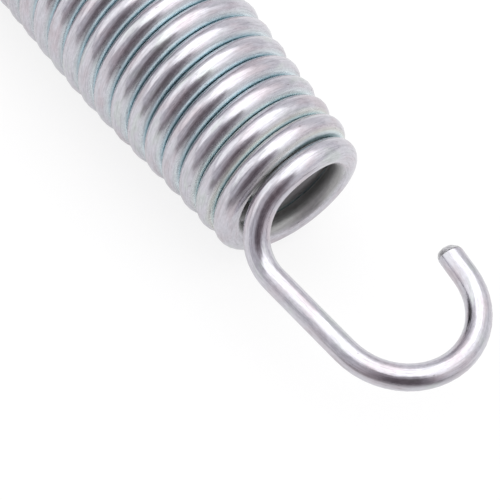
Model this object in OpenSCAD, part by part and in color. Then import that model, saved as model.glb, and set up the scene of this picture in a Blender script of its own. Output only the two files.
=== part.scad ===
// Close-wound extension spring with a long open hook at each end.
// It is one length of round wire, wound right-handed, and is drawn lying on its side:
// the coil's axis runs along X, the hooks lie level and their open sides face +Y.

/* [Wire] */
// Diameter of the wire
wire_d = 3.2; // [2.4:0.1:4.2]
// Height and depth of the bevel round each sheared end
end_bevel = 0.5; // [0.1:0.05:0.8]

/* [Body] */
// Outside diameter of the straight middle of the body
body_od = 24.3; // [22:0.1:32]
// Whole turns in the body
whole_turns = 25; // [16:1:40]
// Air left between neighbouring turns
turn_gap = 0.02; // [0.01:0.01:0.2]

/* [Tapered ends] */
// Turns over which each end of the body narrows
taper_turns = 10.7; // [6:0.1:12]
// How much the radius shrinks over those turns
taper_drop = 1.94; // [0.5:0.01:2.6]
// Turns at the very end over which the coil is nipped in further
nip_turns = 1.3; // [0.8:0.1:3]
// How much the radius is nipped in there
nip_drop = 0.99; // [0.2:0.01:1.3]

/* [Hooks] */
// Angle round the axis, from the open side, at which the wire leaves the coil
leave_angle = 122; // [105:0.1:140]
// Length along the axis of the elbow between the coil and the leg
elbow_rise = 7; // [5.5:0.1:12]
// How far the foot of the leg stands outside the radius of the last turn
leg_out = 1.2; // [0:0.1:3]
// Lean of the leg towards the axis
leg_lean = 5.1; // [0:0.1:12]
// Straight length of the leg
leg_length = 12.2; // [4:0.1:40]
// Radius of the hook's bend, at the middle of the wire
hook_r = 9.2; // [6:0.1:14]
// Angle that the hook's bend turns through
hook_sweep = 169; // [140:1:200]
// Straight length of the tip after the bend, with its bevel
tip_length = 3.7; // [1:0.1:8]

/* [Hidden] */

// Facets of the preview, round the wire and round a full bend
wire_fn = 24;
bend_fn = 60;

wire_r = wire_d / 2;
body_r = body_od / 2 - wire_r;
pitch = wire_d + turn_gap;
// The part turn beyond the whole ones brings both hooks to the same side
turns = whole_turns + 2 * leave_angle / 360;
taper_n = min(taper_turns, turns / 2);
last_r = coil_r(0);

// Two stations a turn, each pair joined by two arcs, follow the helix closely
stations = ceil(2 * turns);
// Step in turns over which the coil's direction is measured
slope_step = 0.0005;
// Every other length of wire is a hair thinner and runs on inside its neighbours, which joins them
hair = 0.01;
lap = 0.25;

function unit(v) = v / norm(v);

// Half a turn about Y, which carries one end of the spring to the other
function other_end(v) = [-v[0], v[1], -v[2]];

// Radius of the wire's middle, a turns in from the nearer end of the coil
function coil_r(a) =
    body_r
    - taper_drop * (1 + cos(180 * min(a / taper_n, 1))) / 2
    - nip_drop * pow(max(1 - a / nip_turns, 0), 2);

// Middle of the wire, n turns along the coil from its -X end
function coil_point(n) =
    let (r = coil_r(min(n, turns - n)), a = 360 * n - leave_angle)
    [pitch * (n - turns / 2), r * cos(a), r * sin(a)];

function coil_way(n) = unit(coil_point(n + slope_step) - coil_point(n - slope_step));

// A level direction, turned by an angle from +X towards +Y
function level_way(angle) = [cos(angle), sin(angle), 0];

foot = [pitch * turns / 2 + elbow_rise, -last_r - leg_out, 0];
leg_end = foot + leg_length * level_way(leg_lean);
bend_c = leg_end + hook_r * level_way(leg_lean + 90);
tip_way = level_way(leg_lean + hook_sweep);
tip_start = bend_c + hook_r * level_way(leg_lean + hook_sweep - 90);

// Stops along the wire, each a point and the wire's direction there
coil_stops = [for (i = [0 : stations]) let (n = turns * i / stations) [coil_point(n), coil_way(n)]];
hook_stops = [[foot, level_way(leg_lean)], [leg_end, level_way(leg_lean)], [tip_start, tip_way]];
far_hook_stops = [for (i = [2 : -1 : 0]) [other_end(hook_stops[i][0]), -other_end(hook_stops[i][1])]];
stops = concat(far_hook_stops, coil_stops, hook_stops);

// Handle length of the two arcs that join stop a smoothly to stop b
function handle(a, b) =
    let (v = b[0] - a[0], d = a[1] + b[1], vd = v * d, k = 2 * (1 - a[1] * b[1]))
    (sqrt(vd * vd + k * (v * v)) - vd) / k;

function straight(a, b) = norm(cross(a[1], b[1])) < 0.000001;

// The lengths of wire between stops, each from a stop to a point: one straight, or two arcs
lengths = [
    for (i = [0 : len(stops) - 2])
        let (a = stops[i], b = stops[i + 1])
        each straight(a, b)
            ? [[a, b[0]]]
            : let (h = handle(a, b), q = a[0] + h * a[1], s = b[0] - h * b[1], middle = (q + s) / 2)
                [[a, middle], [[middle, unit(s - q)], b[0]]]
];

// Places what stands on the XY plane at p, with its Z along the level direction d
module along(p, d) {
    multmatrix([[0, d[1], d[0], p[0]], [0, -d[0], d[1], p[1]], [1, 0, 0, p[2]]]) children();
}

// A length of wire from a stop to a point, straight ahead or round one arc
module wire(stop, end, lapped) {
    section_r = wire_r - (lapped ? hair : 0);
    over = lapped ? lap : 0;
    p = stop[0];
    d = stop[1];
    v = end - p;
    up = cross(d, v);
    if (norm(up) < 0.000001)
        along(p - over * d, d) cylinder(r = section_r, h = norm(v) + 2 * over, $fn = wire_fn);
    else {
        inward = unit(cross(up, d));
        r = v * v / (2 * (v * inward));
        sweep = 2 * atan2(v * inward, v * d);
        over_angle = over / r * 180 / PI;
        frame = [-inward, d, unit(up), p + r * inward];
        multmatrix([for (i = [0 : 2]) [for (axis = frame) axis[i]]])
            rotate(-over_angle)
                rotate_extrude(angle = sweep + 2 * over_angle, $fn = bend_fn)
                    translate([r, 0]) circle(r = section_r, $fn = wire_fn);
    }
}

// The straight tip with its sheared and bevelled end
module tip(p, d, lapped) {
    section_r = wire_r - (lapped ? hair : 0);
    over = lapped ? lap : 0;
    along(p, d)
        rotate_extrude($fn = wire_fn)
            polygon([
                [0, -over], [section_r, -over], [section_r, tip_length - end_bevel],
                [section_r - end_bevel, tip_length], [0, tip_length]
            ]);
}

// The whole spring, one length of wire from tip to tip
module spring() {
    color([0.78, 0.79, 0.82])
        for (i = [-1 : len(lengths)])
            if (i < 0) tip(other_end(tip_start), other_end(tip_way), false);
            else if (i == len(lengths)) tip(tip_start, tip_way, len(lengths) % 2 == 0);
            else wire(lengths[i][0], lengths[i][1], i % 2 == 0);
}

spring();
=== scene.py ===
"""Looks of a close-wound extension spring of bright zinc plated wire, lying on a pale floor."""

import logging
import math
from dataclasses import dataclass, field
from enum import Enum

import bpy
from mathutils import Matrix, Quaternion, Vector


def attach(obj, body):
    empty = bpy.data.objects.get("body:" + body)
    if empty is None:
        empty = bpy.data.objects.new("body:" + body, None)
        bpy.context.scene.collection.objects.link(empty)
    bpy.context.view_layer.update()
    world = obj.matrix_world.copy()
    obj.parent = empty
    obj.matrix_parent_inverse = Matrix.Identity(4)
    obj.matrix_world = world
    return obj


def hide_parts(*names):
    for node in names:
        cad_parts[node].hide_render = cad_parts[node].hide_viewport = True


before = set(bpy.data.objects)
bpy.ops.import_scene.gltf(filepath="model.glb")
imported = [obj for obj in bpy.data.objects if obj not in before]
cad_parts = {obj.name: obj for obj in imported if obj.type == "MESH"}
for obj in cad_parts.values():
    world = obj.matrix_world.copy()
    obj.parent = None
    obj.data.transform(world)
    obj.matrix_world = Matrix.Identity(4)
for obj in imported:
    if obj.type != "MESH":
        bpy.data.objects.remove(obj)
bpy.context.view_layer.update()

log = logging.getLogger("spring")

MM = 0.001

Colour = tuple[float, float, float, float]
Socket = bpy.types.NodeSocket


class End(Enum):
    """The two ends of the wire. The wire's direction there, times the value, points out of it."""

    FAR = -1
    SEEN = 1


@dataclass(frozen=True)
class Stop:
    """A point on the middle of the wire, in millimetres, and the wire's direction there."""

    point: Vector
    way: Vector


@dataclass(frozen=True)
class Arc:
    """One arc of the wire's middle: the stop where it starts and the point where it ends."""

    start: Stop
    end: Vector

    @property
    def axis(self) -> Vector:
        """Direction about which the arc turns."""
        return self.start.way.cross(self.end - self.start.point).normalized()

    @property
    def inward(self) -> Vector:
        """Direction from the start to the arc's centre."""
        return self.axis.cross(self.start.way)

    @property
    def radius(self) -> float:
        """Radius of the arc."""
        chord = self.end - self.start.point
        return chord.length_squared / (2 * chord.dot(self.inward))

    @property
    def centre(self) -> Vector:
        """Middle of the arc's circle."""
        return self.start.point + self.radius * self.inward

    @property
    def sweep(self) -> float:
        """Angle that the arc turns through, in radians."""
        chord = self.end - self.start.point
        return 2 * math.atan2(chord.dot(self.inward), chord.dot(self.start.way))


@dataclass(frozen=True)
class Straight:
    """A straight length of wire: the stop where it starts and the point where it ends."""

    start: Stop
    end: Vector


@dataclass(frozen=True)
class Ring:
    """One round section of the wire.

    It has its middle, the wire's direction there, a direction across it, and how far along the
    wire it lies, in millimetres.
    """

    middle: Vector
    way: Vector
    across: Vector
    run: float


@dataclass(frozen=True)
class DomeStep:
    """One section of a rounded end.

    It gives how far along the bevel the section lies, how wide it is and how low it sits, as
    shares of the bevel's length, the wire's diameter and the wire's radius.
    """

    along: float
    width: float
    lowered: float


@dataclass(frozen=True)
class Ramp:
    """A smooth step: the range that goes in, and what comes out at that range's two ends."""

    low: float
    high: float
    start: float = 0.0
    end: float = 1.0


@dataclass(frozen=True)
class Pattern:
    """Noise on the straightened wire: its cycles a millimetre along and across, and its detail."""

    along: float
    across: float
    detail: float


def other_end(v: Vector) -> Vector:
    """Half a turn about Y, which carries one end of the spring to the other."""
    return Vector((-v.x, v.y, -v.z))


def deselect_all() -> None:
    """Leaves no object selected, so that the next operator acts on one piece only."""
    bpy.ops.object.select_all(action="DESELECT")


def edit_mode(on: bool) -> None:
    """Goes into edit mode with vertices to select, or back out of it.

    Args:
        on: Whether to go in.
    """
    bpy.ops.object.mode_set(mode="EDIT" if on else "OBJECT")
    if on:
        bpy.ops.mesh.select_mode(type="VERT")


def ease(value: float) -> float:
    """Smooth step from 0 to 1 as the value goes from 0 to 1."""
    t = min(max(value, 0), 1)
    return t * t * (3 - 2 * t)


@dataclass
class WireRun:
    """The run of the wire's middle, from the far tip to the seen one.

    Sizes are in millimetres, degrees and turns of the coil.
    """

    wire_d: float = 3.2
    body_od: float = 24.3
    whole_turns: int = 25
    turn_gap: float = 0.02
    taper_turns: float = 10.7
    taper_drop: float = 1.94
    nip_turns: float = 1.3
    nip_drop: float = 0.99
    leave_angle: float = 122.0
    elbow_rise: float = 7.0
    leg_out: float = 1.2
    leg_lean: float = 5.1
    leg_length: float = 12.2
    hook_r: float = 9.2
    hook_sweep: float = 169.0
    slope_step: float = 0.0005
    straight_below: float = 1e-6

    @property
    def wire_r(self) -> float:
        """Radius of the wire."""
        return self.wire_d / 2

    @property
    def pitch(self) -> float:
        """Distance between the middles of neighbouring turns."""
        return self.wire_d + self.turn_gap

    @property
    def turns(self) -> float:
        """Turns of the coil from where one leg leaves it to where the other does."""
        return self.whole_turns + 2 * self.leave_angle / 360

    @property
    def coil_end(self) -> float:
        """Distance along the axis from the coil's middle to either of its ends."""
        return self.pitch * self.turns / 2

    def coil_radius(self, a: float) -> float:
        """Radius of the wire's middle, a turns in from the nearer end of the coil.

        Args:
            a: Turns from the nearer end.

        Returns:
            The radius in millimetres.
        """
        body = (self.body_od - self.wire_d) / 2
        taper_n = min(self.taper_turns, self.turns / 2)
        taper = (1 + math.cos(math.pi * min(a / taper_n, 1))) / 2
        nip = max(1 - a / self.nip_turns, 0) ** 2
        return body - self.taper_drop * taper - self.nip_drop * nip

    def coil_point(self, n: float) -> Vector:
        """Middle of the wire, n turns along the coil.

        Args:
            n: Turns from the coil's far end.

        Returns:
            The point in millimetres.
        """
        r = self.coil_radius(min(n, self.turns - n))
        a = math.radians(360 * n - self.leave_angle)
        return Vector((self.pitch * (n - self.turns / 2), r * math.cos(a), r * math.sin(a)))

    def coil_stop(self, n: float) -> Stop:
        """Stop on the coil, n turns along it from its far end."""
        rise = self.coil_point(n + self.slope_step) - self.coil_point(n - self.slope_step)
        return Stop(self.coil_point(n), rise.normalized())

    def stops(self) -> list[Stop]:
        """Places the stops along the whole wire.

        Returns:
            The stops, from the far tip's start to the seen one's.
        """
        lean = math.radians(self.leg_lean)
        turned = lean + math.radians(self.hook_sweep)
        leg_way = Vector((math.cos(lean), math.sin(lean), 0))
        foot = Vector((self.coil_end + self.elbow_rise, -self.coil_radius(0) - self.leg_out, 0))
        leg_end = foot + self.leg_length * leg_way
        bend_c = leg_end + self.hook_r * Vector((-math.sin(lean), math.cos(lean), 0))
        tip_start = bend_c + self.hook_r * Vector((math.sin(turned), -math.cos(turned), 0))
        hook = [
            Stop(foot, leg_way),
            Stop(leg_end, leg_way),
            Stop(tip_start, Vector((math.cos(turned), math.sin(turned), 0))),
        ]
        far_hook = [Stop(other_end(s.point), -other_end(s.way)) for s in reversed(hook)]
        stations = math.ceil(2 * self.turns)
        coil = [self.coil_stop(self.turns * i / stations) for i in range(stations + 1)]
        return far_hook + coil + hook

    def lengths(self) -> list[Arc | Straight]:
        """Joins each two stops by a straight length, or by two arcs that meet smoothly.

        Returns:
            The lengths of wire, in order.
        """
        made: list[Arc | Straight] = []
        stops = self.stops()
        for a, b in zip(stops, stops[1:]):
            if a.way.cross(b.way).length < self.straight_below:
                made.append(Straight(a, b.point))
                continue
            across, ways = b.point - a.point, a.way + b.way
            along = across.dot(ways)
            k = 2 * (1 - a.way.dot(b.way))
            handle = (math.sqrt(along * along + k * across.length_squared) - along) / k
            q, s = a.point + handle * a.way, b.point - handle * b.way
            middle = (q + s) / 2
            made += [Arc(a, middle), Arc(Stop(middle, (s - q).normalized()), b.point)]
        return made


@dataclass
class SpringWire:
    """The whole spring as one length of wire, spun arc by arc from a circle.

    Sizes are in millimetres and degrees unless a comment says otherwise. The mesh is drawn a
    few lengths of wire at a time, because each operator takes longer on a larger mesh.
    """

    run: WireRun = field(default_factory=WireRun)
    sides: int = 36
    arc_step: float = 7.5
    leg_steps: int = 6
    lengths_a_piece: int = 8
    merge_within: float = 0.002
    largest_miss: float = 0.05
    sharp_angle: float = 40.0
    tip_length: float = 4.15
    # Shares of the tip's straight length
    tip_steps: tuple[float, ...] = (0.3, 0.3, 0.3, 0.1)
    end_skew: float = 6.0
    end_bevel: float = 1.05
    dome: tuple[DomeStep, ...] = (
        DomeStep(0.03, 0.97, 0.0),
        DomeStep(0.35, 0.91, 0.02),
        DomeStep(0.7, 0.76, 0.05),
        DomeStep(0.9, 0.6, 0.07),
        DomeStep(1.0, 0.42, 0.08),
    )
    end_ring: float = 0.35
    rag: float = 0.04
    rag_seed: int = 5
    # Distance from the coil's middle at which the film starts to turn green, and over which
    green_from: float = 28.0
    green_over: float = 9.0
    # Pitches of coil that have to follow for a side to have a next turn, and over which it gains it
    alone_from: float = 0.55
    alone_over: float = 0.6
    # Distance past the coil's end at which the marks of the coil are gone, and over which they go
    past_coil: float = 2.0
    past_coil_over: float = 3.0
    name: str = "spring_wire"

    def build(self) -> bpy.types.Object:
        """Models the wire, a few lengths at a time, and joins them.

        Returns:
            The finished piece, at the origin, with its place in its mesh.
        """
        lengths = self.run.lengths()
        ring = self._first_ring()
        piece = self._first_circle(ring)
        pieces = []
        for i in range(0, len(lengths), self.lengths_a_piece):
            last = i + self.lengths_a_piece >= len(lengths)
            rings = self._draw(lengths[i:i + self.lengths_a_piece], ring, not last)
            if i == 0:
                self._tip(piece, rings, End.FAR)
            if last:
                self._check(piece, rings[-1])
                self._tip(piece, rings, End.SEEN)
            self._mark(piece, rings)
            pieces.append(piece)
            ring = rings[-1]
            if not last:
                piece = self._go_on_from(piece)
        return self._join(pieces)

    def _first_ring(self) -> Ring:
        """The section at the far tip's start."""
        start = self.run.stops()[0]
        return Ring(start.point, start.way, start.way.orthogonal().normalized(), 0)

    def _first_circle(self, ring: Ring) -> bpy.types.Object:
        """Adds the circle that the wire is spun from.

        Args:
            ring: The section that the circle is.

        Returns:
            The circle, with its place in its mesh.
        """
        deselect_all()
        bpy.ops.mesh.primitive_circle_add(
            vertices=self.sides,
            radius=self.run.wire_r * MM,
            location=ring.middle * MM,
            rotation=ring.way.to_track_quat("Z", "Y").to_euler(),
        )
        circle = bpy.context.object
        circle.name = circle.data.name = self.name
        bpy.ops.object.transform_apply(location=True, rotation=True, scale=True)
        return circle

    def _draw(self, lengths: list[Arc | Straight], ring: Ring, splits: bool) -> list[Ring]:
        """Draws lengths of wire on from the active piece, which is one open circle.

        Args:
            lengths: The lengths to draw.
            ring: The section that the circle is.
            splits: Whether to split off a copy of the last section, to start the next piece.

        Returns:
            The piece's sections.
        """
        rings = [ring]
        edit_mode(True)
        bpy.ops.mesh.select_all(action="SELECT")
        for length in lengths:
            if isinstance(length, Arc):
                self._spin(length, rings)
            else:
                self._draw_straight(length, rings)
        if splits:
            bpy.ops.mesh.duplicate()
            bpy.ops.mesh.separate(type="SELECTED")
        edit_mode(False)
        return rings

    def _go_on_from(self, piece: bpy.types.Object) -> bpy.types.Object:
        """Makes the section that was split off a piece the active one.

        Args:
            piece: The piece, which is still selected with what was split off it.

        Returns:
            What was split off.
        """
        split_off = next(o for o in bpy.context.selected_objects if o is not piece)
        deselect_all()
        split_off.select_set(True)
        bpy.context.view_layer.objects.active = split_off
        return split_off

    def _spin(self, arc: Arc, rings: list[Ring]) -> None:
        """Spins the wire's open end round one arc. With no window, spin turns the other way.

        Args:
            arc: The arc to follow.
            rings: The sections so far, to which the new ones are added.
        """
        steps = max(2, math.ceil(math.degrees(arc.sweep) / self.arc_step))
        bpy.ops.mesh.spin(
            steps=steps,
            angle=-arc.sweep,
            center=arc.centre * MM,
            axis=arc.axis,
            use_auto_merge=False,
        )
        first = rings[-1]
        for i in range(1, steps + 1):
            turn = Quaternion(arc.axis, arc.sweep * i / steps)
            middle = arc.centre + turn @ (arc.start.point - arc.centre)
            run = first.run + arc.radius * arc.sweep * i / steps
            rings.append(Ring(middle, turn @ arc.start.way, turn @ first.across, run))

    def _draw_straight(self, length: Straight, rings: list[Ring]) -> None:
        """Extrudes the wire's open end along a straight length.

        Args:
            length: The straight length.
            rings: The sections so far, to which the new ones are added.
        """
        step = (length.end - length.start.point) / self.leg_steps
        first = rings[-1]
        for i in range(1, self.leg_steps + 1):
            self._extrude(step)
            middle, run = first.middle + step * i, first.run + step.length * i
            rings.append(Ring(middle, first.way, first.across, run))

    def _extrude(self, way: Vector) -> None:
        """Extrudes the wire's open end by a way in millimetres."""
        bpy.ops.mesh.extrude_region_move(TRANSFORM_OT_translate={"value": way * MM})

    def _check(self, piece: bpy.types.Object, ring: Ring) -> None:
        """Checks that the spun wire ends where the run does.

        Args:
            piece: The last piece of wire.
            ring: Its last section.

        Raises:
            ValueError: The wire was spun to another place.
        """
        ends = piece.data.vertices[-self.sides:]
        middle = sum((v.co for v in ends), Vector()) / self.sides
        miss = max((middle / MM - p).length for p in (ring.middle, self.run.stops()[-1].point))
        log.info("the wire ends %.4f mm from its stop", miss)
        if miss > self.largest_miss:
            raise ValueError("the wire was spun to the wrong place")

    def _tip(self, piece: bpy.types.Object, rings: list[Ring], end: End) -> None:
        """Adds the straight tip to one end of the wire.

        Args:
            piece: The piece of wire that ends there.
            rings: Its sections.
            end: Which end of the wire it is.
        """
        ring = rings[0 if end is End.FAR else -1]
        way = ring.way * end.value
        first = 0 if end is End.FAR else self.sides * (len(rings) - 1)
        edit_mode(True)
        bpy.ops.mesh.select_all(action="DESELECT")
        edit_mode(False)
        for vertex in piece.data.vertices[first:first + self.sides]:
            vertex.select = True
        edit_mode(True)
        straight = way * (self.tip_length - self.end_bevel)
        for share in self.tip_steps:
            self._extrude(straight * share)
        bpy.ops.transform.rotate(
            value=math.radians(self.end_skew) * end.value,
            orient_axis="Z",
            center_override=(ring.middle + straight) * MM,
        )
        self._round_off(ring.middle + straight, way * self.end_bevel, end)
        edit_mode(False)

    def _round_off(self, middle: Vector, bevel: Vector, end: End) -> None:
        """Closes a tip with a rounded end that is a little ragged where the shear cut it.

        Args:
            middle: Middle of the tip's open end.
            bevel: The way from there to the end's face.
            end: Which end of the wire it is.
        """
        drop = Vector((0, 0, -end.value * self.run.wire_r))
        before = DomeStep(0.0, 1.0, 0.0)
        for step in self.dome:
            along, lowered = step.along - before.along, step.lowered - before.lowered
            self._extrude(bevel * along + drop * lowered)
            bpy.ops.transform.resize(
                value=(step.width / before.width,) * 3,
                center_override=(middle + bevel * step.along + drop * step.lowered) * MM,
            )
            if step is self.dome[0]:
                bpy.ops.transform.vertex_random(
                    offset=self.rag * MM, uniform=1, normal=0, seed=self.rag_seed
                )
            before = step
        bpy.ops.mesh.edge_face_add()
        bpy.ops.mesh.inset(thickness=self.end_ring * MM, depth=0)
        bpy.ops.mesh.poke()

    def _mark(self, piece: bpy.types.Object, rings: list[Ring]) -> None:
        """Writes where each point lies on the straight wire, and what it faces in the coil.

        Args:
            piece: A piece of the wire.
            rings: Its sections. The points past them belong to a tip.
        """
        lay: list[float] = []
        shares: dict[str, list[float]] = {"crevice": [], "bore": [], "greened": [], "rim_shade_share": []}
        for i, vertex in enumerate(piece.data.vertices):
            point = vertex.co / MM
            if i < len(rings) * self.sides:
                ring = rings[i // self.sides]
            else:
                ring = min((rings[0], rings[-1]), key=lambda r: (r.middle - point).length)
            off = point - ring.middle
            up = ring.way.cross(ring.across)
            lay += (ring.run + off.dot(ring.way), off.dot(ring.across), off.dot(up))
            crevice, bore = self._facing(ring, off)
            before_cut = self.tip_length - abs(off.dot(ring.way))
            shares["crevice"].append(crevice)
            shares["bore"].append(bore)
            shares["greened"].append(ease((abs(ring.middle.x) - self.green_from) / self.green_over))
            # 1 where the bevel starts, falling to 0 at the end face: the mask for the painted shade
            # on the cut's rim
            shares["rim_shade_share"].append(ease(before_cut / self.end_bevel))
        layers = piece.data.attributes
        layers.new("lay", "FLOAT_VECTOR", "POINT").data.foreach_set("vector", lay)
        for name, values in shares.items():
            layers.new(name, "FLOAT", "POINT").data.foreach_set("value", values)

    def _facing(self, ring: Ring, off: Vector) -> tuple[float, float]:
        """How much a point faces the neighbouring turn, and how much the coil's axis.

        Args:
            ring: The section that the point is on.
            off: From the section's middle to the point, in millimetres.

        Returns:
            Two shares from 0 to 1.
        """
        x = ring.middle.x
        side = off.x / self.run.wire_r
        room = (self.run.coil_end - (abs(x) if side * x > 0 else 0)) / self.run.pitch
        neighbour = ease((room - self.alone_from) / self.alone_over)
        outward = Vector((0, ring.middle.y, ring.middle.z)).normalized()
        inner = max(-off.dot(outward) / self.run.wire_r, 0)
        in_coil = ease((self.run.coil_end + self.past_coil - abs(x)) / self.past_coil_over)
        return abs(side) * neighbour * in_coil, inner * in_coil

    def _join(self, pieces: list[bpy.types.Object]) -> bpy.types.Object:
        """Joins the pieces into one closed wire that faces outwards.

        Args:
            pieces: The pieces, each of which starts where the one before it ends.

        Returns:
            The whole wire.
        """
        deselect_all()
        for piece in pieces:
            piece.select_set(True)
        bpy.context.view_layer.objects.active = pieces[0]
        bpy.ops.object.join()
        wire = bpy.context.object
        edit_mode(True)
        bpy.ops.mesh.select_all(action="SELECT")
        bpy.ops.mesh.remove_doubles(threshold=self.merge_within * MM)
        bpy.ops.mesh.normals_make_consistent(inside=False)
        edit_mode(False)
        bpy.ops.object.shade_smooth_by_angle(angle=math.radians(self.sharp_angle))
        wire.name = wire.data.name = self.name
        return wire

    def dress(self, wire: bpy.types.Object) -> None:
        """Gives the wire its plating, and its two cut ends their bare steel.

        Args:
            wire: The whole wire.
        """
        marks = DrawingMarks().group()
        wire.data.materials.clear()
        wire.data.materials.append(ZincPlate(marks).material())
        wire.data.materials.append(ShearedSteel(marks).material())
        steel = len(wire.data.materials) - 1
        stops = self.run.stops()
        for stop, end in ((stops[0], End.FAR), (stops[-1], End.SEEN)):
            way = stop.way * end.value
            for face in wire.data.polygons:
                off = face.center / MM - stop.point
                near = off.length < self.tip_length + self.run.wire_d
                if near and off.dot(way) > self.tip_length - self.end_bevel:
                    face.material_index = steel


class Nodes:
    """Adds nodes to a tree and links them, from left to right."""

    # A Mix node's sockets for colours: the share and the two colours, and the result
    MIX_INPUTS = (0, 6, 7)
    MIX_RESULT = 2

    def __init__(self, tree: bpy.types.NodeTree) -> None:
        """Keeps the tree to work in."""
        self.tree = tree

    @property
    def shader(self) -> bpy.types.Node:
        """The material's own shader."""
        return self.tree.nodes["Principled BSDF"]

    def feed(self, key: str, value: Socket) -> None:
        """Links a value into one of the shader's sockets."""
        self.tree.links.new(value, self.shader.inputs[key])

    def add(
        self, kind: str, inputs: dict[int | str, object] | None = None, **settings: object
    ) -> bpy.types.Node:
        """Adds one node.

        Args:
            kind: The node's type.
            inputs: What goes into its sockets: a value, or another node's output socket.
            settings: Properties of the node.

        Returns:
            The new node.
        """
        node = self.tree.nodes.new(kind)
        for key, value in settings.items():
            setattr(node, key, value)
        for key, value in (inputs or {}).items():
            if isinstance(value, Socket):
                self.tree.links.new(value, node.inputs[key])
            else:
                node.inputs[key].default_value = value
        return node

    def math(self, operation: str, *values: float | Socket) -> Socket:
        """Adds a maths node, whose values are numbers or sockets, and returns its output."""
        return self.add("ShaderNodeMath", dict(enumerate(values)), operation=operation).outputs[0]

    def layer(self, name: str) -> Socket:
        """Reads one of the shares that are written on the wire."""
        return self.add("ShaderNodeAttribute", attribute_name=name).outputs["Fac"]

    def marked(self, marks: bpy.types.NodeTree) -> dict[str, Socket]:
        """Places the group of drawing marks on the straightened wire.

        Args:
            marks: The group.

        Returns:
            Its outputs by name.
        """
        lay = self.add("ShaderNodeAttribute", attribute_name="lay").outputs["Vector"]
        group = self.add("ShaderNodeGroup", {"Lay": lay}, node_tree=marks)
        return {output.name: output for output in group.outputs}

    def noise(self, lay: Socket, pattern: Pattern) -> Socket:
        """Adds noise on the straightened wire.

        Args:
            lay: Where a point lies on it.
            pattern: How the noise is stretched, and its detail.

        Returns:
            The noise's value.
        """
        stretch = (pattern.along, pattern.across, pattern.across)
        at = self.add("ShaderNodeVectorMath", {0: lay, 1: stretch}, operation="MULTIPLY").outputs[0]
        inputs = {"Vector": at, "Scale": 1.0, "Detail": pattern.detail}
        return self.add("ShaderNodeTexNoise", inputs).outputs["Fac"]

    def smooth(self, value: Socket, ramp: Ramp) -> Socket:
        """Maps a value by a ramp.

        Args:
            value: What goes in.
            ramp: The ramp.

        Returns:
            What comes out.
        """
        inputs = {
            "Value": value,
            "From Min": ramp.low,
            "From Max": ramp.high,
            "To Min": ramp.start,
            "To Max": ramp.end,
        }
        node = self.add("ShaderNodeMapRange", inputs, interpolation_type="SMOOTHSTEP")
        return node.outputs["Result"]

    def within(self, angle: Socket, middle: float, width: float, soft: float) -> Socket:
        """Share, from 0 to 1, by which an angle lies within a span of angles.

        Args:
            angle: The angle in radians.
            middle: The span's middle in degrees.
            width: Its width in degrees.
            soft: Width of its soft edges in degrees.

        Returns:
            The share.
        """
        off = self.math("SUBTRACT", angle, math.radians(middle))
        off = self.math("ABSOLUTE", self.math("WRAP", off, math.pi, -math.pi))
        edge, half_soft = math.radians(width / 2), math.radians(soft / 2)
        return self.smooth(off, Ramp(edge - half_soft, edge + half_soft, 1.0, 0.0))

    def relief(self, *layers: tuple[Socket, float]) -> Socket:
        """Chains bumps into one relief.

        Args:
            layers: Each bump's height and its depth in millimetres.

        Returns:
            The normal.
        """
        normal: Socket | None = None
        for height, depth in layers:
            inputs = {"Strength": 1.0, "Distance": depth * MM, "Height": height}
            if normal is not None:
                inputs["Normal"] = normal
            normal = self.add("ShaderNodeBump", inputs).outputs["Normal"]
        return normal

    def mix(
        self,
        share: float | Socket,
        first: Colour | Socket,
        second: Colour | Socket,
        blend: str = "MIX",
    ) -> Socket:
        """Mixes two colours.

        Args:
            share: How much of the second one.
            first: The first colour.
            second: The second colour.
            blend: How they are mixed.

        Returns:
            The mixed colour.
        """
        node = self.add("ShaderNodeMix", data_type="RGBA", blend_type=blend)
        for index, value in zip(self.MIX_INPUTS, (share, first, second)):
            if isinstance(value, Socket):
                self.tree.links.new(value, node.inputs[index])
            else:
                node.inputs[index].default_value = value
        return node.outputs[self.MIX_RESULT]


def new_material(name: str) -> tuple[bpy.types.Material, Nodes]:
    """Makes a material with nodes.

    Args:
        name: Its name.

    Returns:
        The material, and a Nodes to fill it with.
    """
    made = bpy.data.materials.new(name)
    made.use_nodes = True
    return made, Nodes(made.node_tree)


@dataclass(frozen=True)
class DrawingMarks:
    """Marks of the drawing die along the wire, and the unevenness of its surface."""

    marks: Pattern = Pattern(0.35, 6.0, 3.0)
    waves: Pattern = Pattern(0.1, 0.3, 0.0)
    patches: Pattern = Pattern(0.22, 0.6, 4.0)
    grains: Pattern = Pattern(1.6, 3.2, 2.0)
    flecks: Pattern = Pattern(0.9, 2.2, 3.0)
    fleck_peaks: Ramp = Ramp(0.69, 0.76)
    name: str = "drawing_marks"

    def group(self) -> bpy.types.NodeTree:
        """Makes the node group, whose patterns lie on the straightened wire.

        Returns:
            The group, with where a point lies as its input and the patterns as its outputs.
        """
        tree = bpy.data.node_groups.new(self.name, "ShaderNodeTree")
        tree.interface.new_socket("Lay", in_out="INPUT", socket_type="NodeSocketVector")
        nodes = Nodes(tree)
        lay = nodes.add("NodeGroupInput").outputs["Lay"]
        outputs = {
            "Marks": nodes.noise(lay, self.marks),
            "Waves": nodes.noise(lay, self.waves),
            "Patches": nodes.noise(lay, self.patches),
            "Grains": nodes.noise(lay, self.grains),
            "Flecks": nodes.smooth(nodes.noise(lay, self.flecks), self.fleck_peaks),
        }
        for key in outputs:
            tree.interface.new_socket(key, in_out="OUTPUT", socket_type="NodeSocketFloat")
        nodes.add("NodeGroupOutput", outputs)
        return tree


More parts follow.
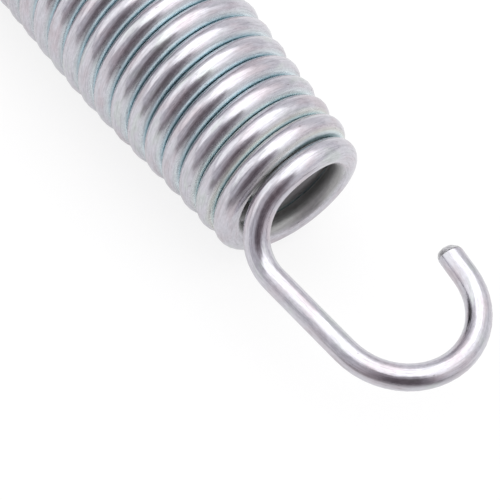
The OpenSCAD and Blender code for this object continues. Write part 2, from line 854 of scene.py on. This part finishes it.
@dataclass(frozen=True)
class ShearedSteel:
    """Dull sheared steel at the wire's ends, with a broken rim of painted shade along the cut.
    Depths are in millimetres.
    """

    marks: bpy.types.NodeTree
    colour: Colour = (0.72, 0.72, 0.73, 1)
    shade: Ramp = Ramp(0.3, 0.7, 0.75, 1.1)
    # Painted shade: the dark broken rim where the bevel starts
    painted_rim_shade: Colour = (0.10, 0.095, 0.095, 1)
    rim_shade_grains: float = 0.8
    rim_shade_edge: Ramp = Ramp(1.31, 1.45)
    rough: Ramp = Ramp(0.3, 0.7, 0.3, 0.5)
    grain_depth: float = 0.08
    name: str = "sheared_steel"

    def material(self) -> bpy.types.Material:
        """Makes the material.

        Returns:
            The material.
        """
        made, nodes = new_material(self.name)
        grains = nodes.marked(self.marks)["Grains"]
        # The rim of painted shade where the bevel starts, broken by the grains
        edge = nodes.math("MULTIPLY_ADD", grains, self.rim_shade_grains, nodes.layer("rim_shade_share"))
        colour = nodes.mix(nodes.smooth(edge, self.rim_shade_edge), self.colour, self.painted_rim_shade)
        colour = nodes.mix(1.0, colour, nodes.smooth(grains, self.shade), "MULTIPLY")
        nodes.feed("Base Color", colour)
        nodes.feed("Roughness", nodes.smooth(grains, self.rough))
        nodes.feed("Normal", nodes.relief((grains, self.grain_depth)))
        nodes.shader.inputs["Metallic"].default_value = 1
        return made


@dataclass(frozen=True)
class WireSurface:
    """What the plating reads at each point of the wire.

    That is the drawing marks, how much the point faces the next turn and the bore, how near the
    coil's end it is, and the share of painted shade along the line where the turns meet.
    """

    marks: dict[str, Socket]
    crevice: Socket
    bore: Socket
    greened: Socket
    # Share of painted shade along the line where the turns meet
    line: Socket


@dataclass(frozen=True)
class ZincPlate:
    """Bright zinc plating on drawn wire, with a blue film that is thicker between the turns.

    The film turns green towards the coil's ends. Where it is thick, it is less metallic. Painted
    light lifts the film where it lies deepest between the turns, and painted shade darkens the
    line where the turns meet and the bore. Depths are in millimetres.
    """

    marks: bpy.types.NodeTree
    colour: Colour = (0.583, 0.573, 0.62, 1)
    rosy: Colour = (0.53, 0.455, 0.485, 1)
    rosy_patches: Ramp = Ramp(0.46, 0.68, 0.0, 0.55)
    sage: Colour = (0.54, 0.575, 0.565, 1)
    sage_patches: Ramp = Ramp(0.3, 0.46, 0.7, 0.0)
    blue: Colour = (0.60, 0.655, 0.68, 1)
    green: Colour = (0.62, 0.63, 0.58, 1)
    green_patches: float = 0.5
    green_film: Ramp = Ramp(0.45, 1.15)
    film_edge: Ramp = Ramp(0.55, 0.97)
    # The film where it lies deepest between the turns: partly its own teal tint, partly painted
    # light, lighter than the plating, that lifts the shade on those flanks. The next colour does
    # the same towards the coil's ends, where the last turns shade the gap.
    deep_film_and_painted_light: Colour = (0.72, 0.82, 0.86, 1)
    open_gap_painted_light: Colour = (0.74, 0.84, 0.855, 1)
    deep_film_and_painted_light_edge: Ramp = Ramp(0.8, 0.95)
    # Painted shade: a dark teal line where the turns meet, where the groove's shade falls
    painted_groove_shade: Colour = (0.26, 0.39, 0.44, 1)
    groove_shade_edge: Ramp = Ramp(0.93, 0.985, 0.0, 0.7)
    # Painted shade: the plating darker where it faces the coil's axis, inside the bore
    inside: Colour = (0.44, 0.44, 0.435, 1)
    bore_shade_edge: Ramp = Ramp(0.35, 0.9)
    grain_shade: Ramp = Ramp(0.3, 0.7, 0.93, 1.05)
    mark_shade: Ramp = Ramp(0.45, 0.68, 1.04, 0.88)
    fleck: Colour = (0.30, 0.27, 0.29, 1)
    fleck_share: float = 0.75
    rough_patches: Ramp = Ramp(0.3, 0.75, 0.12, 0.22)
    rough_grains: Ramp = Ramp(0.35, 0.65, 0.0, 0.05)
    rough_film: Ramp = Ramp(0.4, 0.85, 0.0, 0.1)
    rough_bore: Ramp = Ramp(0.3, 0.9, 0.0, 0.25)
    rough_flecks: float = 0.2
    matt_edge: Ramp = Ramp(0.5, 0.95)
    matt_film: float = 0.1
    matt_green: float = 0.45
    matt_bore: Ramp = Ramp(0.4, 0.95, 0.0, 0.35)
    wave_depth: float = 0.08
    grain_depth: float = 0.006
    mark_depth: float = 0.01
    name: str = "zinc_plate"

    def material(self) -> bpy.types.Material:
        """Makes the material.

        Returns:
            The material.
        """
        made, nodes = new_material(self.name)
        crevice = nodes.layer("crevice")
        at = WireSurface(
            marks=nodes.marked(self.marks),
            crevice=crevice,
            bore=nodes.layer("bore"),
            greened=nodes.layer("greened"),
            line=nodes.smooth(crevice, self.groove_shade_edge),
        )
        relief = nodes.relief(
            (at.marks["Waves"], self.wave_depth),
            (at.marks["Grains"], self.grain_depth),
            (at.marks["Marks"], self.mark_depth),
        )
        nodes.feed("Base Color", self._colour(nodes, at))
        nodes.feed("Roughness", self._roughness(nodes, at))
        nodes.feed("Metallic", self._metal(nodes, at))
        nodes.feed("Normal", relief)
        return made

    def _colour(self, nodes: Nodes, at: WireSurface) -> Socket:
        """Colours the plating, the film between the turns with painted light where it lies deepest,
        the painted shade along the line where the turns meet and in the bore, and the flecks.

        Args:
            nodes: The material's nodes.
            at: What they read from the wire.

        Returns:
            The colour.
        """
        patches = at.marks["Patches"]
        colour = nodes.mix(nodes.smooth(patches, self.rosy_patches), self.colour, self.rosy)
        colour = nodes.mix(nodes.smooth(patches, self.sage_patches), colour, self.sage)
        greenish = nodes.math("MULTIPLY_ADD", patches, self.green_patches, at.greened)
        film = nodes.mix(nodes.smooth(greenish, self.green_film), self.blue, self.green)
        colour = nodes.mix(nodes.smooth(at.crevice, self.film_edge), colour, film)
        # The deepest film: its tint, and painted light that lifts the shade between the turns
        deep_film_and_painted_light = nodes.mix(at.greened, self.deep_film_and_painted_light, self.open_gap_painted_light)
        colour = nodes.mix(nodes.smooth(at.crevice, self.deep_film_and_painted_light_edge), colour, deep_film_and_painted_light)
        # Painted shade along the line where the turns meet
        colour = nodes.mix(at.line, colour, self.painted_groove_shade)
        # Painted shade inside the bore
        colour = nodes.mix(nodes.smooth(at.bore, self.bore_shade_edge), colour, self.inside)
        shade = nodes.math(
            "MULTIPLY",
            nodes.smooth(at.marks["Grains"], self.grain_shade),
            nodes.smooth(at.marks["Marks"], self.mark_shade),
        )
        colour = nodes.mix(1.0, colour, shade, "MULTIPLY")
        flecks = nodes.math("MULTIPLY", at.marks["Flecks"], self.fleck_share)
        return nodes.mix(flecks, colour, self.fleck)

    def _roughness(self, nodes: Nodes, at: WireSurface) -> Socket:
        """Roughens the patches, grains and flecks, the film and the bore.

        Args:
            nodes: The material's nodes.
            at: What they read from the wire.

        Returns:
            The roughness.
        """
        rough = nodes.smooth(at.marks["Patches"], self.rough_patches)
        for value, ramp in (
            (at.marks["Grains"], self.rough_grains),
            (at.crevice, self.rough_film),
            (at.bore, self.rough_bore),
        ):
            rough = nodes.math("ADD", rough, nodes.smooth(value, ramp))
        return nodes.math("MULTIPLY_ADD", at.marks["Flecks"], self.rough_flecks, rough)

    def _metal(self, nodes: Nodes, at: WireSurface) -> Socket:
        """Makes the film and the bore less metallic, but not the painted shade where the turns
        meet.

        Args:
            nodes: The material's nodes.
            at: What they read from the wire.

        Returns:
            The share of metal.
        """
        film = nodes.math("MULTIPLY_ADD", at.greened, self.matt_green, self.matt_film)
        matt = nodes.math("MULTIPLY", nodes.smooth(at.crevice, self.matt_edge), film)
        matt = nodes.math("MAXIMUM", matt, nodes.smooth(at.bore, self.matt_bore))
        matt = nodes.math("MULTIPLY", matt, nodes.math("SUBTRACT", 1.0, at.line))
        return nodes.math("SUBTRACT", 1.0, matt)


@dataclass(frozen=True)
class Window:
    """A patch of the room as the metal mirrors it: where it lies, what it shows, its soft edge.

    Angles are in degrees: azimuth from +X towards +Y, and height above the floor's level.
    """

    azimuth: float
    width: float
    height: float
    tall: float
    colour: Colour
    soft: float


@dataclass(frozen=True)
class Dusk:
    """How the floor that the metal mirrors falls off, away from a point under the coil's end.

    It does so on one side only, whose angles are given as a Window's are. Lengths are in
    millimetres.
    """

    x: float = 40.0
    near: float = 26.0
    far: float = 92.0
    azimuth: float = -36.0
    width: float = 104.0
    soft: float = 34.0
    colour: Colour = (0.34, 0.32, 0.33, 1)


@dataclass
class Studio:
    """Floor, surroundings and camera, in millimetres. The surroundings give all the light."""

    camera_at: tuple[float, float, float] = (117.707, -87.911, 177.405)
    camera_turn: tuple[float, float, float, float] = (0.855308, 0.260573, 0.073656, 0.441729)
    lens: float = 126.974
    sensor: float = 36.0
    # In metres
    clip: tuple[float, float] = (0.01, 20.0)
    floor_z: float = -12.15
    floor_size: float = 4000.0
    paper: Colour = (0.9, 0.9, 0.9, 1)
    paper_rough: float = 0.9
    glow: float = 1.04
    glow_seen: float = 0.78
    glow_mirrored: float = 0.5
    dusk: Dusk = Dusk()
    plain: Colour = (1, 1, 1, 1)
    wall: Colour = (0.84, 0.83, 0.86, 1)
    windows: tuple[Window, ...] = (
        # A paler stretch of the wall
        Window(55, 90, 38, 30, (1.08, 1.07, 1.08, 1), 20),
        # The light overhead, and the large one beyond the far hook
        Window(0, 400, 90, 80, (1.8, 1.8, 1.8, 1), 34),
        Window(172, 154, 70, 50, (1.9, 1.9, 1.9, 1), 14),
        # A dim patch below it, near the floor
        Window(176, 54, 2, 44, (0.44, 0.43, 0.47, 1), 14),
        # The side light, and a grey card beside it
        Window(-133, 54, 36, 52, (1.35, 1.35, 1.35, 1), 10),
        Window(-80, 50, 18, 84, (0.64, 0.625, 0.66, 1), 18),
        # The dark screen on the camera's side, and its darkest part
        Window(-31, 74, 18, 96, (0.40, 0.37, 0.40, 1), 18),
        Window(-30, 46, 12, 70, (0.15, 0.125, 0.14, 1), 18),
    )

    def build(self) -> None:
        """Sets up everything round the spring."""
        self._camera()
        self._floor()
        self._room()
        bpy.context.scene.view_settings.view_transform = "Standard"

    def _camera(self) -> None:
        """Places the camera at the photo's viewing angle."""
        data = bpy.data.cameras.new("camera")
        data.lens = self.lens
        data.sensor_width = self.sensor
        data.clip_start, data.clip_end = self.clip
        camera = bpy.data.objects.new("camera", data)
        bpy.context.scene.collection.objects.link(camera)
        camera.location = Vector(self.camera_at) * MM
        camera.rotation_mode = "QUATERNION"
        camera.rotation_quaternion = Quaternion(self.camera_turn)
        bpy.context.scene.camera = camera

    def _floor(self) -> None:
        """Lays the pale floor under the spring, which keeps the spring's shadow.

        To the camera and in the metal it also glows, so that it shows plain white.
        """
        deselect_all()
        at = (0, 0, self.floor_z * MM)
        bpy.ops.mesh.primitive_plane_add(size=self.floor_size * MM, location=at)
        floor = bpy.context.object
        floor.name = "floor"
        paper, nodes = new_material("white_paper")
        nodes.shader.inputs["Roughness"].default_value = self.paper_rough
        nodes.shader.inputs["Specular IOR Level"].default_value = 0.0
        ray = nodes.add("ShaderNodeLightPath").outputs
        colour = self._floor_colour(nodes, ray["Is Glossy Ray"])
        nodes.feed("Base Color", nodes.mix(1.0, colour, self.paper, "MULTIPLY"))
        glow = nodes.add("ShaderNodeEmission", {"Color": colour, "Strength": self.glow})
        mirrored = nodes.math("MULTIPLY", ray["Is Glossy Ray"], self.glow_mirrored)
        share = nodes.math("MULTIPLY_ADD", ray["Is Camera Ray"], self.glow_seen, mirrored)
        shaders = {0: share, 1: nodes.shader.outputs[0], 2: glow.outputs[0]}
        mixed = nodes.add("ShaderNodeMixShader", shaders).outputs[0]
        nodes.tree.links.new(mixed, nodes.tree.nodes["Material Output"].inputs["Surface"])
        floor.data.materials.append(paper)

    def _floor_colour(self, nodes: Nodes, mirrored: Socket) -> Socket:
        """Colours the floor, which falls off to dusk where the metal mirrors it.

        Args:
            nodes: The floor's nodes.
            mirrored: Whether the floor is seen in the metal.

        Returns:
            The colour.
        """
        dusk = self.dusk
        place = nodes.add("ShaderNodeNewGeometry").outputs["Position"]
        parts = nodes.add("ShaderNodeSeparateXYZ", {0: place}).outputs
        ahead = nodes.math("SUBTRACT", parts["X"], dusk.x * MM)
        azimuth = nodes.math("ARCTAN2", parts["Y"], ahead)
        flat = nodes.add("ShaderNodeCombineXYZ", {"X": ahead, "Y": parts["Y"]}).outputs[0]
        away = nodes.add("ShaderNodeVectorMath", {0: flat}, operation="LENGTH").outputs["Value"]
        share = nodes.math(
            "MULTIPLY",
            nodes.within(azimuth, dusk.azimuth, dusk.width, dusk.soft),
            nodes.smooth(away, Ramp(dusk.near * MM, dusk.far * MM)),
        )
        return nodes.mix(nodes.math("MULTIPLY", share, mirrored), self.plain, dusk.colour)

    def _room(self) -> None:
        """Surrounds the spring with soft light: plain white to the camera, else with windows."""
        world = bpy.data.worlds.new("room")
        bpy.context.scene.world = world
        world.use_nodes = True
        nodes = Nodes(world.node_tree)
        towards = nodes.add("ShaderNodeTexCoord").outputs["Generated"]
        parts = nodes.add("ShaderNodeSeparateXYZ", {0: towards}).outputs
        azimuth = nodes.math("ARCTAN2", parts["Y"], parts["X"])
        height = nodes.math("ARCSINE", parts["Z"])
        colour: Colour | Socket = self.wall
        for window in self.windows:
            share = nodes.math(
                "MULTIPLY",
                nodes.within(azimuth, window.azimuth, window.width, window.soft),
                nodes.within(height, window.height, window.tall, window.soft),
            )
            colour = nodes.mix(share, colour, window.colour)
        by_camera = nodes.add("ShaderNodeLightPath").outputs["Is Camera Ray"]
        shown = nodes.mix(by_camera, colour, self.plain)
        nodes.tree.links.new(shown, nodes.tree.nodes["Background"].inputs["Color"])


def main() -> None:
    """Builds the spring and the studio, and reports each piece."""
    logging.basicConfig(level=logging.INFO, format="%(name)s: %(message)s")
    spring = SpringWire()
    wire = spring.build()
    spring.dress(wire)
    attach(wire, "root")
    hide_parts("spring")
    log.info("wire has %d faces", len(wire.data.polygons))
    Studio().build()


if __name__ == "__main__":
    main()
